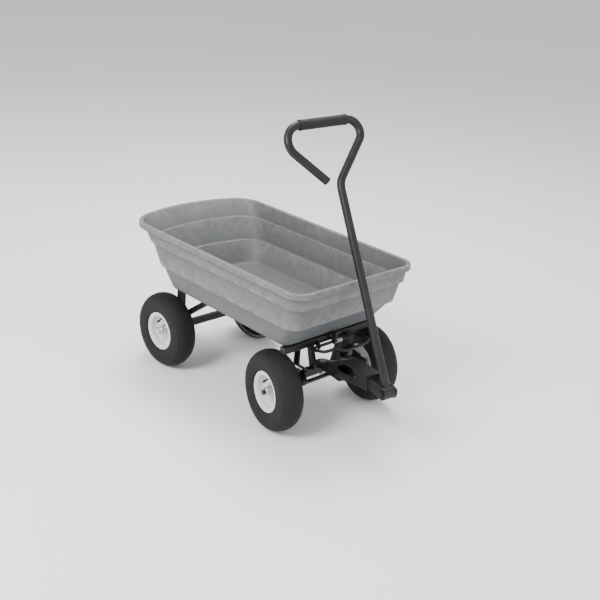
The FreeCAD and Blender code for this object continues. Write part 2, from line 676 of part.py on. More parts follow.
def make_tongue():
    turn = steer_about(0.0)
    x = value("front_axle_x")
    width = value("tongue_half_width")
    thick = value("tongue_sheet")
    top_z = value("beam_bottom") + value("beam_size") + value("plate_gap")

    plate = body("tongue_plate_body")
    outline = closed([(x - 27, -27), (x + 126, -25), (x + 126, 25), (x - 27, 27)], [24, 6, 6, 24])
    holes = ring(x, 0, value("kingpin_radius") + 0.06)
    for _, sign in SIDES:
        holes += ring(x + value("arm_x"), sign * value("arm_y"), value("link_pin_radius") + 0.06)
    profile = sketch(plate, "tongue_plate_outline", "XY_Plane", outline + holes, top_z)
    pad(plate, "tongue_plate_pad", profile, "plate_thick")
    piece(place(plate, turn), "tongue_plate")

    channel = body("tongue_body")
    side = [(x + s, z) for s, z in TONGUE_SIDE]
    pad(channel, "tongue_pad", sketch(channel, "tongue_side", "XZ_Plane", closed(side)),
        "2 * tongue_half_width", True)
    roof = [(x + s, z - thick) for s, z in TONGUE_SIDE[3:]]
    inside = [(x + 40, 160), (x + 270, 160), (x + 270, roof[0][1])] + roof + [(x + 40, roof[-1][1] - 5)]
    pocket(channel, "tongue_inside", sketch(channel, "tongue_inside_line", "XZ_Plane", closed(inside)),
           "2 * (tongue_half_width - tongue_sheet)")
    window = [(x + s, z) for s, z in TONGUE_WINDOW]
    pocket(channel, "tongue_window", sketch(channel, "tongue_window_line", "XZ_Plane",
                                            closed(window, [4, 7, 6, 4, 12])), "2 * tongue_half_width + 10")
    piece(place(channel, turn), "tongue")

    pivot_x = x + value("tongue_length")
    pivot_z = value("handle_pivot_z")
    radius = value("clevis_radius")
    ears = []
    for side_name, sign in SIDES:
        ear = body("clevis_ear_" + side_name)
        points = [(x + s, z) for s, z in EAR_SIDE]
        points[3] = (pivot_x + radius, pivot_z - radius)
        points[4] = (pivot_x + radius, pivot_z + radius)
        edges = closed(points, [0, 10, 0, radius - 0.5, radius - 0.5, 10, 0])
        edges += ring(pivot_x, pivot_z, value("clevis_bolt_radius"))
        inner = width - thick - 5.2
        start = -inner - 5.2 if sign > 0 else inner
        pad(ear, "clevis_ear_pad_" + side_name, sketch(ear, "clevis_ear_line_" + side_name, "XZ_Plane",
                                                     edges, start), 5.2)
        ears.append(ear)
    piece(place(group("clevis_ears", *ears), turn), "clevis_ears")

    base = ("front_axle_x + tongue_length", -30, "handle_pivot_z")
    shank = rod("clevis_shank", "clevis_bolt_radius", 62, base, Y_AXIS)
    head = hexagon("clevis_head", 10.5, 7, ("front_axle_x + tongue_length", -29.3, "handle_pivot_z"),
                   Y_AXIS)
    nut = hexagon("clevis_nut", 10.5, 8, ("front_axle_x + tongue_length", 22.3, "handle_pivot_z"), Y_AXIS)
    piece(place(fuse("clevis_bolt", shank, head, nut), turn), "clevis_bolt")


# ---------------------------------------------------------------- handle

# Handle centreline in its own frame: across, along the shaft from the pivot. The loop's top
# tilts a little, so its two corners stand at different heights.
HANDLE_START = 13.0
HANDLE_NECK = (0, 632)
LOOP_RIGHT = 161.0
LOOP_LEFT = -212.0
HANDLE_END = (-42, 638)
HANDLE_RADII = (60, 40, 50)
GRIP_FROM = -98.0
GRIP_TO = 70.0
EYE_RADIUS = 18
EYE_WIDTH = 33


def handle_placement():
    pivot = FreeCAD.Vector(value("front_axle_x") + value("tongue_length"), 0, value("handle_pivot_z"))
    lean = FreeCAD.Placement(pivot, FreeCAD.Rotation(Y_AXIS, -value("rest_lean")))
    return steer_about(0.0).multiply(lean)


def loop_height(across):
    """How far along the shaft the loop's top bar lies, at a distance across."""
    return value("loop_top") - (LOOP_RIGHT - across) * math.tan(math.radians(value("loop_tilt")))


def make_handle():
    where = handle_placement()
    tube = body("handle_body")
    route = [(0, HANDLE_START), HANDLE_NECK, (LOOP_RIGHT, loop_height(LOOP_RIGHT)),
             (LOOP_LEFT, loop_height(LOOP_LEFT)), HANDLE_END]
    spine = sketch(tube, "handle_route", "YZ_Plane", rounded(route, HANDLE_RADII))
    outer = sketch(tube, "handle_outer", "XY_Plane", ring(0, 0, value("handle_radius")), HANDLE_START)
    inner = sketch(tube, "handle_inner", "XY_Plane", ring(0, 0, value("handle_bore")), HANDLE_START)
    for kind, profile in (("AdditivePipe", outer), ("SubtractivePipe", inner)):
        sweep = tube.newObject("PartDesign::" + kind, "handle_" + kind.lower())
        sweep.Profile = profile
        sweep.Spine = (spine, [])
    piece(place(tube, where), "handle_tube")

    length = GRIP_TO - GRIP_FROM
    grip_outer = rod("grip_outer", "grip_radius", length, (0, GRIP_FROM, 0), Y_AXIS)
    grip_inner = rod("grip_inner", "handle_radius", length + 20, (0, GRIP_FROM - 10, 0), Y_AXIS)
    along_bar = FreeCAD.Placement(FreeCAD.Vector(0, 0, loop_height(0)),
                                  FreeCAD.Rotation(X_AXIS, value("loop_tilt")))
    grip = place(cut("handle_grip", grip_outer, grip_inner), along_bar)
    piece(place(grip, where), "handle_grip")

    eye_round = rod("eye_round", EYE_RADIUS, EYE_WIDTH, (0, -EYE_WIDTH / 2, 0), Y_AXIS)
    eye_bore = rod("eye_bore", "clevis_bolt_radius + 0.06", 60, (0, -30, 0), Y_AXIS)
    socket = rod("eye_socket", "handle_radius", 60, (0, 0, HANDLE_START))
    piece(place(cut("handle_eye", eye_round, eye_bore, socket), where), "handle_eye")


# ---------------------------------------------------------------- tub release

def make_release():
    """A bent lever that hooks over the striker, its two lugs and its return spring."""
    x = value("release_x")
    z = value("release_z")
    half = value("release_half")
    reach = x + value("release_reach")
    route = [FreeCAD.Vector(px, py, z + rise) for px, py, rise in (
        (x, 0, 0), (x, -half, 0), (reach - 6, -half, 15), (reach, -64, 18), (reach + 3, -16, 0),
        (reach, 70, 2), (reach - 4, half, 6), (x, half, 0), (x, 0, 0))]
    wire = rounded_space(route, (9, 14, 26, 34, 60, 14, 9))
    section = Part.Wire([Part.Circle(route[0], Y_AXIS, value("release_radius")).toShape()])
    bail = DOC.addObject("Part::Feature", "release_bail")
    bail.Shape = wire.makePipeShell([section], True, True)
    hook = body("release_hook_body")
    hook_line = [(x - 6, z - 6), (x + 6, z - 6), (x + 12, z + 12), (x + 13, z + 36), (x - 3, z + 36),
                 (x - 3, z + 29.3), (x + 6.5, z + 29.3), (x + 4, z + 12), (x - 6, z + 5)]
    pad(hook, "release_hook_pad", sketch(hook, "release_hook_line", "XZ_Plane", closed(hook_line)), 6, True)
    piece(fuse("release_lever", bail, hook), "release_lever")
    lugs = []
    for side, sign in SIDES:
        lug = body("release_lug_" + side)
        bar_face = value("rail_front") + value("tube_size")
        line = closed([(bar_face, z + 2), (x - 6, z - 9), (x + 8, z - 9), (x + 8, z + 9),
                       (bar_face, z + 17)], [0, 5, 7, 7, 0])
        line += ring(x, z, value("release_radius") + 0.08)
        pad(lug, "release_lug_pad_" + side, sketch(lug, "release_lug_line_" + side, "XZ_Plane", line,
                                                 -sign * 62.0), 4, True)
        lugs.append(lug)
    piece(group("release_lugs", *lugs), "release_lugs")
    coil = Part.makeHelix(3.2, 24, 7.2)
    coil_section = Part.Wire([Part.Circle(FreeCAD.Vector(7.2, 0, 0), Y_AXIS, 1.1).toShape()])
    spring = DOC.addObject("Part::Feature", "release_spring")
    spring.Shape = Part.Wire(coil.Edges).makePipeShell([coil_section], True, True)
    spring.Placement = FreeCAD.Placement(FreeCAD.Vector(x, 10, z), FreeCAD.Rotation(Z_AXIS, Y_AXIS))
    piece(spring, "release_spring")


def rounded_space(points, radii):
    """A smooth wire through points in space, each inner corner rounded by its radius."""
    edges = []
    start = points[0]
    for before, corner, after, radius in zip(points, points[1:], points[2:], radii):
        back = (before - corner).normalize()
        ahead = (after - corner).normalize()
        half = back.getAngle(ahead) / 2
        if math.degrees(half) > 89:
            continue
        reach = radius / math.tan(half)
        middle = corner + (back + ahead).normalize() * (radius / math.sin(half) - radius)
        enter = corner + back * reach
        leave = corner + ahead * reach
        edges.append(Part.LineSegment(start, enter).toShape())
        edges.append(Part.Arc(enter, middle, leave).toShape())
        start = leave
    edges.append(Part.LineSegment(start, points[-1]).toShape())
    return Part.Wire(edges)


# ---------------------------------------------------------------- wheels

# Tyre wall seen in section: radius, distance from the wheel's middle. The bead sits on the
# rim, the side wall is nearly flat out to a crisp shoulder, and the tread is plain and round.
SHOULDER = (114, 37.5)


def make_tyre():
    tyre = body("tyre_source")
    crown = value("wheel_radius")
    half = value("tyre_half_width")
    bead = value("bead_radius")
    wall = value("tyre_wall")
    outer = []
    inner = []
    for sign in (1, -1):
        outer.append([vector(bead, sign * 18), vector(bead, sign * 26.6), vector(57, sign * 30),
                      vector(66.4, sign * 30), vector(66.8, sign * 34), vector(92, sign * half),
                      vector(SHOULDER[0], sign * SHOULDER[1])])
        inner.append([vector(bead + 6, sign * 18), vector(64, sign * 24), vector(92, sign * (half - wall)),
                      vector(SHOULDER[0] - wall, sign * (SHOULDER[1] - wall))])
    up, down = outer
    iup, idown = inner
    edges = [Part.LineSegment(first, second) for first, second in zip(up[:4], up[1:5])]
    edges += [
        Part.Arc(up[4], up[5], up[6]),
        Part.Arc(up[6], vector(crown, 0), down[6]),
        Part.Arc(down[6], down[5], down[4]),
    ]
    edges += [Part.LineSegment(first, second) for first, second in zip(down[4:0:-1], down[3::-1])]
    edges += [
        Part.LineSegment(down[0], idown[0]),
        Part.LineSegment(idown[0], idown[1]),
        Part.Arc(idown[1], idown[2], idown[3]),
        Part.Arc(idown[3], vector(crown - wall, 0), iup[3]),
        Part.Arc(iup[3], iup[2], iup[1]),
        Part.LineSegment(iup[1], iup[0]),
        Part.LineSegment(iup[0], up[0]),
    ]
    revolve(tyre, "tyre_turn", sketch(tyre, "tyre_section", "XZ_Plane", edges))
    return tyre


# Section of one pressed rim half past its centre hole: radius, distance from the middle.
RIM_HALF = ((43, 3), (51.2, 9), (51.2, 28), (55, 33), (66, 33), (66, 30.3),
            (56.6, 30.3), (53.9, 27), (53.9, 8), (44.5, 0.3))


def make_rim():
    """Two pressed halves, back to back."""
    hole = value("hub_radius") + 0.05
    halves = []
    for name, sign in (("outer", 1), ("inner", -1)):
        half = body("rim_half_" + name)
        points = [(radius, sign * along) for radius, along in ((hole, 0.3), (hole, 3)) + RIM_HALF]
        revolve(half, "rim_turn_" + name, sketch(half, "rim_section_" + name, "XZ_Plane", closed(points)))
        halves.append(half)
    return group("rim_source", *halves)


def make_hub():
    """Hub sleeve through both rim halves, with its welding collar."""
    hub = body("hub_source")
    bore = value("hub_bore_radius")
    radius = value("hub_radius")
    half = value("hub_half_length")
    points = [(bore, -half), (radius - 2, -half), (radius, -half + 2), (radius, 3), (28, 3), (28, 5),
              (radius + 4, 5), (radius, 9), (radius, half - 2), (radius - 2, half), (bore, half)]
    revolve(hub, "hub_turn", sketch(hub, "hub_section", "XZ_Plane", closed(points)))
    return hub


def make_valve():
    stem = rod("valve_stem", 3, 20, (0, 0, 0))
    collar = rod("valve_collar", 4.6, 5, (0, 0, 0))
    cap = rod("valve_cap", 3.9, 9, (0, 0, 18))
    valve = fuse("valve_source", stem, collar, cap)
    valve.Placement = FreeCAD.Placement(FreeCAD.Vector(0, 47, 16), FreeCAD.Rotation(X_AXIS, 25))
    return group("valve_turned", valve)


def make_wheels():
    tyre = make_tyre()
    rim = make_rim()
    hub = make_hub()
    valve = make_valve()
    sources = (("tyre", tyre), ("rim", rim), ("hub", hub), ("valve", valve))
    for end in ("front", "rear"):
        for side, sign in SIDES:
            if end == "front":
                y = sign * (value("kingpin_y") + value("wheel_offset"))
                centre = FreeCAD.Vector(value("front_axle_x"), y, value("wheel_radius"))
                steer = steer_about(sign * value("kingpin_y"))
            else:
                centre = FreeCAD.Vector(value("rear_axle_x"), sign * value("rear_wheel_y"),
                                        value("wheel_radius"))
                steer = FreeCAD.Placement()
            outward = FreeCAD.Placement(centre, FreeCAD.Rotation(Z_AXIS, Y_AXIS * sign))
            for kind, source in sources:
                name = "%s_%s_%s" % (end, side, kind)
                copy = DOC.addObject("Part::Compound", "node_" + name)
                copy.Links = [source]
                copy.Placement = steer.multiply(outward)
                piece(copy, name)


make_tub()
make_tub_ironwork()
make_frame()
make_legs()
make_axles()
for side_name, side_sign in SIDES:
    make_knuckle(side_name, side_sign)
    make_tie_rod(side_name, side_sign)
make_tongue()
make_handle()
make_release()
make_wheels()
DOC.recompute()

for item in DOC.Objects:
    if "Invalid" in item.State or "Error" in item.State:
        raise RuntimeError("%s did not build: %s" % (item.Name, item.State))
for item in PIECES:
    if item.Shape.isNull() or not item.Shape.isValid() or item.Shape.Volume < 1:
        raise RuntimeError("%s has no valid shape" % item.Label)

os.makedirs("parts", exist_ok=True)
whole = FreeCAD.BoundBox()
for item in PIECES:
    item.Shape.exportStep("parts/%s.step" % item.Label)
    whole.add(item.Shape.optimalBoundingBox())
print(len(PIECES), "pieces,", "size", whole)
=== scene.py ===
import json
import math

import bpy
from mathutils import Matrix, Vector


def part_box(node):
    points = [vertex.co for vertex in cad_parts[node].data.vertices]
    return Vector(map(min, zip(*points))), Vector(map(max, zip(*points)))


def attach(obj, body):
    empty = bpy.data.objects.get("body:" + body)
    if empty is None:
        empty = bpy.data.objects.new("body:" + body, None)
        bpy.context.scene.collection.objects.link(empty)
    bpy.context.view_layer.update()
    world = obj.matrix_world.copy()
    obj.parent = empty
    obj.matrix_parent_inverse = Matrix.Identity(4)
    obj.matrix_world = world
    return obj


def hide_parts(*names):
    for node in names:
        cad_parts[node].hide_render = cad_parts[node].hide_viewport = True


# Garden dump cart: a grey moulded tub on a black powder-coated chassis, four pneumatic
# wheels and a pull handle. Metres, +X towards the pull handle, +Y to the cart's left, +Z up.

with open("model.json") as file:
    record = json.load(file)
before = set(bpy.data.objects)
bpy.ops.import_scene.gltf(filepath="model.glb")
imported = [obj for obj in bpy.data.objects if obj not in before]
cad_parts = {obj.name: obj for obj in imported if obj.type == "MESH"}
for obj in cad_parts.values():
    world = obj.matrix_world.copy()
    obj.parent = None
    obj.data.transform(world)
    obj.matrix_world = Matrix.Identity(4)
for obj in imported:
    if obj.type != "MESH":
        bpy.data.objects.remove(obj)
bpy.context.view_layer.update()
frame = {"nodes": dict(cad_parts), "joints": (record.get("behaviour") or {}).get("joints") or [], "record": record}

MM = 0.001
SIDES = (("left", 1), ("right", -1))
ENDS = ("front", "rear")
JOINTS = {joint["name"]: joint for joint in frame["joints"]}
NODE_SLOTS = {part["node"]: part["material_slot"] for part in frame["record"]["subparts"]}


# ---------------------------------------------------------------- material helpers

class Finish:
    """A principled material with the few procedural nodes that every finish here uses."""

    def __init__(self, name, **uniform):
        self.material = bpy.data.materials.new(name)
        self.material.use_nodes = True
        self.tree = self.material.node_tree
        self.shader = self.tree.nodes["Principled BSDF"]
        self.place = self.tree.nodes.new("ShaderNodeTexCoord").outputs["Object"]
        for socket, amount in uniform.items():
            self.shader.inputs[socket.replace("_", " ")].default_value = amount

    def feed(self, socket, amount):
        """Link a node's output to the socket, or set the socket to a plain value."""
        if isinstance(amount, bpy.types.NodeSocket):
            self.tree.links.new(amount, socket)
        else:
            socket.default_value = amount

    def node(self, kind, **inputs):
        item = self.tree.nodes.new("ShaderNode" + kind)
        for socket, amount in inputs.items():
            self.feed(item.inputs[socket.replace("_", " ")], amount)
        return item

    def noise(self, scale, detail=3.0, roughness=0.55, stretch=(1, 1, 1), distortion=0.0):
        """Soft noise; the scale is in cells per metre and the stretch multiplies it by axis."""
        spot = self.node("Mapping", Vector=self.place, Scale=stretch)
        item = self.node("TexNoise", Vector=spot.outputs["Vector"], Scale=scale, Detail=detail,
                         Roughness=roughness, Distortion=distortion)
        return item.outputs["Fac"]

    def cells(self, scale):
        """One random level for each cell, as in crystals."""
        item = self.node("TexVoronoi", Vector=self.place, Scale=scale)
        split = self.node("SeparateColor", Color=item.outputs["Color"])
        return split.outputs["Red"]

    def attribute(self, name):
        item = self.node("Attribute")
        item.attribute_name = name
        return item.outputs["Fac"]

    def spread(self, source, low, high, start=0.3, stop=0.7):
        """The source from start to stop, laid out between low and high."""
        item = self.node("MapRange", Value=source, From_Min=start, From_Max=stop, To_Min=low, To_Max=high)
        return item.outputs["Result"]

    def times(self, first, second):
        item = self.node("Math")
        item.operation = "MULTIPLY"
        for socket, amount in zip(item.inputs, (first, second)):
            self.feed(socket, amount)
        return item.outputs["Value"]

    def blend(self, share, first, second):
        """Colour between the first and the second by the share."""
        item = self.node("Mix")
        item.data_type = "RGBA"
        self.tree.links.new(share, item.inputs["Factor"])
        for name, colour in (("A", first), ("B", second)):
            socket = [s for s in item.inputs if s.name == name and s.type == "RGBA"][0]
            self.feed(socket, (*colour, 1.0) if isinstance(colour, tuple) else colour)
        return [s for s in item.outputs if s.type == "RGBA"][0]

    def colour(self, source):
        self.tree.links.new(source, self.shader.inputs["Base Color"])

    def rough(self, source):
        self.tree.links.new(source, self.shader.inputs["Roughness"])

    def bump(self, *layers):
        """Stacked bumps, each a height source, a strength and a depth in metres."""
        normal = None
        for height, strength, depth in layers:
            item = self.node("Bump", Height=height, Strength=strength, Distance=depth)
            if normal is not None:
                self.tree.links.new(normal, item.inputs["Normal"])
            normal = item.outputs["Normal"]
        self.tree.links.new(normal, self.shader.inputs["Normal"])


# ---------------------------------------------------------------- materials

def tub_poly():
    """Mid grey moulded polyethylene: fine grain, cloudy tone, rubbed edges and faint scuffs."""
    finish = Finish("tub_poly", Specular_IOR_Level=0.35)
    cloud = finish.noise(5, 4)
    grain = finish.noise(1500, 2)
    scuff = finish.noise(26, 6, 0.7, stretch=(0.25, 3, 3), distortion=0.6)
    tone = finish.blend(finish.spread(cloud, 0, 1), (0.091, 0.095, 0.099), (0.103, 0.107, 0.111))
    speck = finish.blend(finish.spread(grain, 0, 0.25, 0.45, 0.75), tone, (0.17, 0.175, 0.18))
    rubbed = finish.times(finish.attribute("rubbed"), finish.spread(finish.noise(40, 5), 0.15, 0.75))
    worn = finish.blend(rubbed, speck, (0.24, 0.245, 0.25))
    scuffed = finish.spread(scuff, 0, 0.07, 0.60, 0.74)
    finish.colour(finish.blend(scuffed, worn, (0.20, 0.20, 0.198)))
    finish.rough(finish.spread(finish.noise(14, 5), 0.44, 0.62))
    finish.bump((cloud, 0.25, 0.0012), (grain, 0.35, 0.00025), (scuff, 0.06, 0.0003))
    return finish.material


def tyre_rubber():
    """Matt black rubber with a grey bloom and dust worked into it."""
    finish = Finish("tyre_rubber", Specular_IOR_Level=0.25)
    bloom = finish.noise(22, 5, 0.6)
    grain = finish.noise(900, 3)
    black = finish.blend(finish.spread(bloom, 0, 1), (0.007, 0.007, 0.0075), (0.016, 0.0155, 0.015))
    dust = finish.spread(finish.noise(60, 6, 0.7), 0, 0.22, 0.52, 0.78)
    finish.colour(finish.blend(dust, black, (0.040, 0.038, 0.035)))
    finish.rough(finish.spread(bloom, 0.62, 0.86))
    finish.bump((bloom, 0.2, 0.0008), (grain, 0.4, 0.0003))
    return finish.material


def rim_paint():
    """Light grey gloss paint on pressed steel, slightly uneven and dusty."""
    finish = Finish("rim_paint", Coat_Weight=0.25, Coat_Roughness=0.2, Specular_IOR_Level=0.5)
    cloud = finish.noise(30, 4)
    peel = finish.noise(420, 2)
    paint = finish.blend(finish.spread(cloud, 0, 1), (0.60, 0.60, 0.585), (0.68, 0.68, 0.665))
    dust = finish.spread(finish.noise(75, 7, 0.72), 0, 0.4, 0.55, 0.8)
    finish.colour(finish.blend(dust, paint, (0.47, 0.45, 0.42)))
    finish.rough(finish.spread(finish.noise(48, 5), 0.27, 0.46))
    finish.bump((peel, 0.18, 0.0002))
    return finish.material


def frame_paint():
    """Black powder coat with an orange-peel skin and dull patches."""
    finish = Finish("frame_paint", Specular_IOR_Level=0.38)
    peel = finish.noise(650, 2)
    cloud = finish.noise(20, 5)
    coat = finish.blend(finish.spread(cloud, 0, 1), (0.005, 0.005, 0.0055), (0.011, 0.011, 0.0115))
    dust = finish.spread(finish.noise(90, 7, 0.75), 0, 0.14, 0.58, 0.82)
    finish.colour(finish.blend(dust, coat, (0.040, 0.038, 0.036)))
    finish.rough(finish.spread(finish.noise(55, 5), 0.36, 0.56))
    finish.bump((peel, 0.3, 0.00025))
    return finish.material


def zinc_steel():
    """Bright zinc plate with small crystals and a dull film."""
    finish = Finish("zinc_steel", Metallic=1.0)
    crystal = finish.cells(420)
    film = finish.noise(70, 6, 0.65)
    plate = finish.blend(crystal, (0.56, 0.56, 0.545), (0.70, 0.70, 0.69))
    finish.colour(finish.blend(finish.spread(film, 0, 0.45, 0.5, 0.8), plate, (0.42, 0.41, 0.385)))
    finish.rough(finish.spread(film, 0.27, 0.48))
    finish.bump((crystal, 0.06, 0.0001), (finish.noise(1100, 2), 0.12, 0.0001))
    return finish.material


def grip_vinyl():
    """Soft black vinyl with a leathery grain."""
    finish = Finish("grip_vinyl", Specular_IOR_Level=0.3, Sheen_Weight=0.05, Sheen_Roughness=0.5)
    grain = finish.noise(1000, 4, 0.6)
    worn = finish.noise(45, 5)
    black = finish.blend(finish.spread(worn, 0, 1), (0.008, 0.008, 0.0085), (0.018, 0.0175, 0.017))
    finish.colour(black)
    finish.rough(finish.spread(worn, 0.55, 0.78))
    finish.bump((grain, 0.4, 0.0003))
    return finish.material


def cap_plastic():
    """Black moulded caps with a satin grain."""
    finish = Finish("cap_plastic", Specular_IOR_Level=0.45)
    grain = finish.noise(1300, 2)
    cloud = finish.noise(60, 4)
    black = finish.blend(finish.spread(cloud, 0, 1), (0.008, 0.008, 0.0085), (0.016, 0.016, 0.0165))
    finish.colour(black)
    finish.rough(finish.spread(cloud, 0.42, 0.58))
    finish.bump((grain, 0.3, 0.0002))
    return finish.material


def valve_rubber():
    """Matt rubber of the valve stems and their caps."""
    finish = Finish("valve_rubber", Specular_IOR_Level=0.4)
    cloud = finish.noise(180, 4)
    finish.colour(finish.blend(finish.spread(cloud, 0, 1), (0.018, 0.018, 0.018), (0.040, 0.039, 0.038)))
    finish.rough(finish.spread(cloud, 0.5, 0.72))
    finish.bump((finish.noise(1500, 2), 0.3, 0.0002))
    return finish.material


def floor_paint():
    """The pale studio floor."""
    finish = Finish("floor_paint", Specular_IOR_Level=0.2)
    cloud = finish.noise(0.8, 3)
    finish.colour(finish.blend(finish.spread(cloud, 0, 1), (0.92, 0.92, 0.92), (0.94, 0.94, 0.94)))
    finish.rough(finish.spread(cloud, 0.75, 0.85))
    return finish.material


MATERIALS = {make.__name__: make() for make in (
    tub_poly, tyre_rubber, rim_paint, frame_paint, zinc_steel, grip_vinyl, cap_plastic, valve_rubber)}


# ---------------------------------------------------------------- mesh helpers

def add_mesh(name, points, faces, slot, body, where=Matrix.Identity(4), sharp_angle=35):
    """A smooth-shaded mesh piece that rides on a body and takes its slot's material."""
    mesh = bpy.data.meshes.new(name)
    mesh.from_pydata([tuple(point) for point in points], [], faces)
    mesh.validate()
    mesh.shade_smooth()
    mesh.set_sharp_from_angle(angle=math.radians(sharp_angle))
    piece = bpy.data.objects.new(name, mesh)
    bpy.context.scene.collection.objects.link(piece)
    piece.matrix_world = where
    mesh.materials.append(MATERIALS[slot])
    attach(piece, body)
    return piece


def softened(corners, radii, steps=5, closed=True):
    """The corners, each rounded by its radius with a few points; works in any number of axes."""
    rounded = []
    count = len(corners)
    for number, (corner, radius) in enumerate(zip(corners, radii)):
        at_end = not closed and number in (0, count - 1)
        if radius == 0 or at_end:
            rounded.append(corner)
            continue
        before = corners[number - 1] - corner
        after = corners[(number + 1) % count] - corner
        start = before * min(radius / before.length, 0.5)
        stop = after * min(radius / after.length, 0.5)
        for step in range(steps + 1):
            t = step / steps
            rounded.append(corner + start * (1 - t) ** 2 + stop * t ** 2)
    return rounded


def turned(name, outlines, slot, body, where, sections):
    """A piece turned on a lathe about its own Z from closed outlines of (radius, height)."""
    points = []
    faces = []
    for outline in outlines:
        base = len(points)
        size = len(outline)
        for turn in range(sections):
            angle = 2 * math.pi * turn / sections
            points += [(r * math.cos(angle), r * math.sin(angle), z) for r, z in outline]
        for turn in range(sections):
            here = base + turn * size
            ahead = base + ((turn + 1) % sections) * size
            for step in range(size):
                other = (step + 1) % size
                faces.append((here + step, ahead + step, ahead + other, here + other))
    return add_mesh(name, points, faces, slot, body, where)


END_GIRTH = 0.45


def swept(name, path, radius, slot, body, ripple=0.0, pitch=1.0, around=10):
    """A round bar along a path with closed, domed ends; a ripple makes a weld's scales."""
    points = []
    faces = []
    total = 0.0
    last = len(path) - 1
    for number, spot in enumerate(path):
        ahead = (path[min(number + 1, last)] - path[max(number - 1, 0)]).normalized()
        side = ahead.orthogonal().normalized()
        up = ahead.cross(side)
        if number:
            total += (spot - path[number - 1]).length
        girth = radius * (1 + ripple * math.sin(2 * math.pi * total / pitch))
        if number in (0, last):
            girth *= END_GIRTH
        for turn in range(around):
            angle = 2 * math.pi * turn / around
            points.append(spot + (side * math.cos(angle) + up * math.sin(angle)) * girth)
    for number in range(last):
        for turn in range(around):
            other = (turn + 1) % around
            faces.append((number * around + turn, number * around + other,
                          (number + 1) * around + other, (number + 1) * around + turn))
    faces.append(tuple(reversed(range(around))))
    faces.append(tuple(range(last * around, (last + 1) * around)))
    return add_mesh(name, points, faces, slot, body, sharp_angle=80)


def box_middle(node):
    low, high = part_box(node)
    return (low + high) / 2


# ---------------------------------------------------------------- tub

# The tub's section as its levels, from under the floor, up the outside, over the rim and
# down the inside: depth below the rim's top, how far it stands in from the rim at the sides,
# the front and the rear, the front and rear corner radii, how far the edge is softened and
# how much it gets rubbed. Millimetres.
TUB_LEVELS = (
    (210, 64, 111, 154, 26, 70, 5, 0.3),
    (200, 56, 103, 146, 34, 78, 6, 0.3),
    (132, 35, 52, 117, 36, 82, 2.5, 0.0),
    (132, 27, 43, 108, 40, 88, 3, 1.0),
    (58, 22, 24, 66, 42, 92, 2.5, 0.0),
    (58, 15, 15, 58, 46, 98, 3, 1.0),
    (18, 11.6, 10.2, 24.9, 47.4, 100.8, 2, 0.0),
    (18, 0, 0, 0, 56, 110, 4, 0.6),
    (0, 0, 0, 0, 56, 110, 6, 1.0),
    (0, 15, 13, 15, 43, 97, 4, 0.8),
    (52, 20, 20, 63, 41, 93, 3, 0.0),
    (52, 27, 29, 71, 37, 87, 3, 0.8),
    (126, 32, 48, 113, 35, 83, 3, 0.0),
    (126, 40, 57, 122, 31, 77, 3, 0.8),
    (204, 64, 111, 154, 26, 70, 14, 0.0),
    (204, 84, 131, 174, 10, 50, 0, 0.0),
)
TUB_BOW = 560.0


def arc(centre_x, centre_y, radius, start, stop, count):
    """Points on an arc without its first one."""
    turns = [start + (stop - start) * step / count for step in range(1, count + 1)]
    return [(centre_x + radius * math.cos(turn), centre_y + radius * math.sin(turn)) for turn in turns]


def line(start, stop, count):
    """Points on a line without its first one."""
    shares = [step / count for step in range(1, count + 1)]
    return [(start[0] + (stop[0] - start[0]) * t, start[1] + (stop[1] - start[1]) * t) for t in shares]


FRONT_STEPS = 6
CORNER_STEPS = 12
SIDE_STEPS = 12
REAR_STEPS = 14


def tub_ring(half_width, front, rear, front_round, rear_round, bow):
    """Straight front with round corners, straight sides and a bowed rear end, as points."""
    bow_x = rear + bow
    centre_y = half_width - rear_round
    centre_x = bow_x - math.sqrt((bow - rear_round) ** 2 - centre_y ** 2)
    lean = math.atan2(centre_y, centre_x - bow_x)
    corner_x = front - front_round
    corner_y = half_width - front_round
    half = [(front, 0.0)]
    half += line(half[-1], (front, corner_y), FRONT_STEPS)
    half += arc(corner_x, corner_y, front_round, 0, math.pi / 2, CORNER_STEPS)
    half += line(half[-1], (centre_x, half_width), SIDE_STEPS)
    half += arc(centre_x, centre_y, rear_round, math.pi / 2, lean, REAR_STEPS)
    half += arc(bow_x, 0, bow, lean, math.pi, REAR_STEPS)
    return half + [(x, -y) for x, y in reversed(half[1:-1])]


def make_tub():
    """The whole moulded shell, with soft ledges, a rolled rim and a flat floor."""
    low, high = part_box("tub")
    corners = [Vector(level[:6] + level[7:]) for level in TUB_LEVELS]
    levels = softened(corners, [level[6] for level in TUB_LEVELS], closed=False)
    points = []
    rubbed = []
    for drop, side, front, rear, front_round, rear_round, wear in levels:
        ring = tub_ring(high.y - side * MM, high.x - front * MM, low.x + rear * MM,
                        front_round * MM, rear_round * MM, (TUB_BOW + side) * MM)
        points += [(x, y, high.z - drop * MM) for x, y in ring]
        rubbed += [wear] * len(ring)
    size = len(points) // len(levels)
    faces = []
    for level in range(len(levels) - 1):
        for step in range(size):
            other = (step + 1) % size
            faces.append((level * size + step, level * size + other,
                          (level + 1) * size + other, (level + 1) * size + step))
    faces.append(tuple(reversed(range(size))))
    faces.append(tuple(range(len(points) - size, len(points))))
    tub = add_mesh("tub_shell", points, faces, "tub_poly", "tub", sharp_angle=50)
    wear_layer = tub.data.attributes.new("rubbed", "FLOAT", "POINT")
    wear_layer.data.foreach_set("value", rubbed)
    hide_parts("tub")


# ---------------------------------------------------------------- wheels

